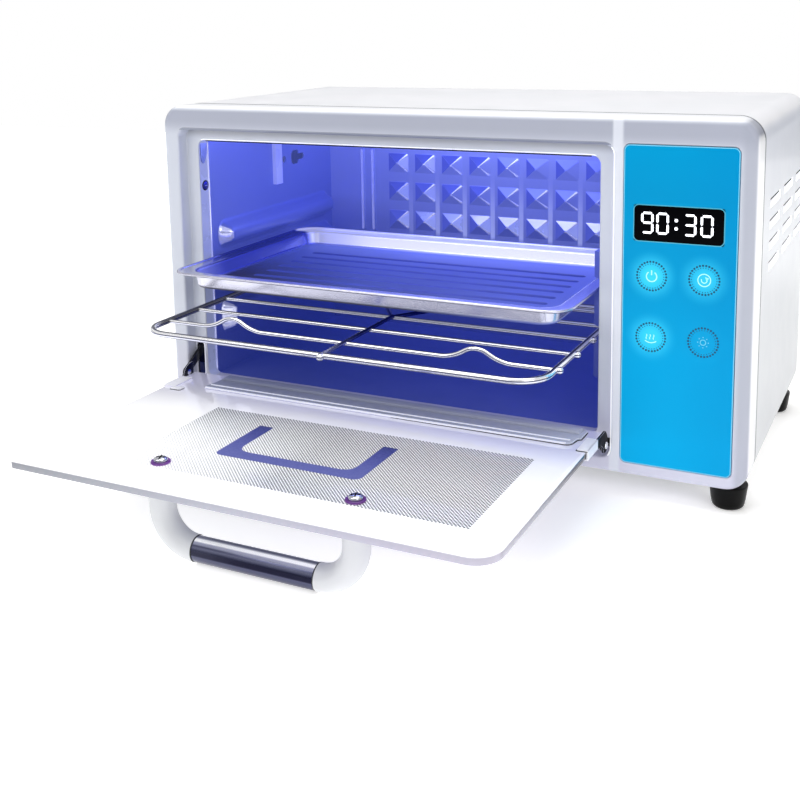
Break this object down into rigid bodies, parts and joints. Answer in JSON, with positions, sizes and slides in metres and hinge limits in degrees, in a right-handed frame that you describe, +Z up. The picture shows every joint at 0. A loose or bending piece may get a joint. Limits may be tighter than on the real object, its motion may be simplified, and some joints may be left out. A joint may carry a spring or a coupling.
{
  "type": "ultraviolet sterilizer cabinet",
  "caption": "Countertop ultraviolet sterilizer cabinet: fold-down glass door with bar handle that draws out a tray and a wire rack, lamp-lit pressed chamber, and touch panel at the right.",
  "frame": {"origin": "middle of the whole part's box in X and Y, at its lowest point, the underside of the open door's handle", "axes": "+Z up, -Y is the front, where the glass door folds down; +X is the control panel's side"},
  "size_m": [0.35, 0.34, 0.2132],
  "materials": {
    "frame_plastic": "satin moulded, light blue-grey with a white rim",
    "shell_paint": "satin white powder paint",
    "sheet_steel": "plain zinc-coated sheet",
    "cavity_steel": "polished pressed sheet lit violet blue by the lamp",
    "tray_steel": "smooth pressed steel with a bright rolled rim",
    "panel_blue": "gloss cyan blue with glowing dotted rings",
    "screen_black": "clear gloss over black",
    "dark_plastic": "fine-grained moulded",
    "board_laminate": "solder-masked circuit board",
    "touch_copper": "thin sprung copper alloy",
    "lamp_glass": "quartz tube glowing violet blue",
    "white_plastic": "smooth moulded white",
    "clip_paint": "white painted sheet",
    "bright_metal": "bright plated",
    "door_glass": "clear tempered glass with a dotted print",
    "leaf_paint": "grey-lavender with a white front line",
    "washer_purple": "soft purple nylon",
    "link_black": "black oxide sheet steel",
    "foot_rubber": "matte moulded"
  },
  "bodies": {
    "cabinet": {"front_frame": "frame_plastic", "outer_shell": "shell_paint", "rear_panel": "shell_paint", "base_plate": "sheet_steel", "linkage_plate": "sheet_steel", "hinge_plate_left": "sheet_steel", "hinge_plate_right": "sheet_steel", "lamp_ballast": "sheet_steel", "ptc_heater": "sheet_steel", "thermal_cutout": "sheet_steel", "link_spring": "sheet_steel", "cavity_left_wall": "cavity_steel", "cavity_right_wall": "cavity_steel", "cavity_roof": "cavity_steel", "cavity_floor": "cavity_steel", "cavity_back_wall": "cavity_steel", "control_panel": "panel_blue", "display_lens": "screen_black", "display_module": "dark_plastic", "fan_frame": "dark_plastic", "mains_inlet": "dark_plastic", "interlock_reed": "dark_plastic", "touch_board": "board_laminate", "power_board": "board_laminate", "touch_pad_upper_left": "touch_copper", "touch_pad_upper_right": "touch_copper", "touch_pad_lower_left": "touch_copper", "touch_pad_lower_right": "touch_copper", "uv_lamp": "lamp_glass", "lamp_holder_left": "white_plastic", "lamp_holder_right": "white_plastic", "jamb_screw_left": "bright_metal", "jamb_screw_right": "bright_metal", "foot_screw_front_left": "bright_metal", "foot_screw_front_right": "bright_metal", "foot_screw_back_left": "bright_metal", "foot_screw_back_right": "bright_metal", "foot_front_left": "foot_rubber", "foot_front_right": "foot_rubber", "foot_back_left": "foot_rubber", "foot_back_right": "foot_rubber"},
    "door": {"door_glass": "door_glass", "hinge_leaf": "leaf_paint", "bracket_left": "clip_paint", "bracket_right": "clip_paint", "hinge_pin_left": "bright_metal", "hinge_pin_right": "bright_metal", "handle_elbow_left": "white_plastic", "handle_elbow_right": "white_plastic", "handle_tube": "bright_metal", "handle_washer_left": "washer_purple", "handle_washer_right": "washer_purple", "handle_screw_left": "bright_metal", "handle_screw_right": "bright_metal", "link_rivet": "bright_metal"},
    "link": {"link_arm": "link_black", "arm_magnet": "dark_plastic"},
    "tray_drawer": {"tray": "tray_steel"},
    "rack_drawer": {"wire_rack": "bright_metal"},
    "fan_wheel": {"fan_rotor": "dark_plastic"}
  },
  "joints": [
    {"name": "door_hinge", "type": "hinge", "parent": "cabinet", "child": "door", "pos_m": [0, -0.0132, 0.0407], "axis": [-1, 0, 0], "range_deg": [0, 90], "deforming": ["link_spring"]},
    {"name": "link_pivot", "type": "hinge", "parent": "door", "child": "link", "pos_m": [-0.1607, -0.0201, 0.0494], "axis": [1, 0, 0], "range_deg": [0, 104]},
    {"name": "tray_slide", "type": "slide", "parent": "cabinet", "child": "tray_drawer", "axis": [0, 1, 0], "range_m": [0, 0.042]},
    {"name": "rack_slide", "type": "slide", "parent": "cabinet", "child": "rack_drawer", "axis": [0, 1, 0], "range_m": [0, 0.08]},
    {"name": "fan_spin", "type": "hinge", "parent": "cabinet", "child": "fan_wheel", "pos_m": [0.112, 0.107, 0.1697], "axis": [1, 0, 0], "continuous": true}
  ],
  "couplings": [
    {"joint": "link_pivot", "follows": "door_hinge", "ratio": 1.154},
    {"joint": "tray_slide", "follows": "door_hinge", "m_per_rad": 0.026738},
    {"joint": "rack_slide", "follows": "door_hinge", "m_per_rad": 0.05093}
  ]
}
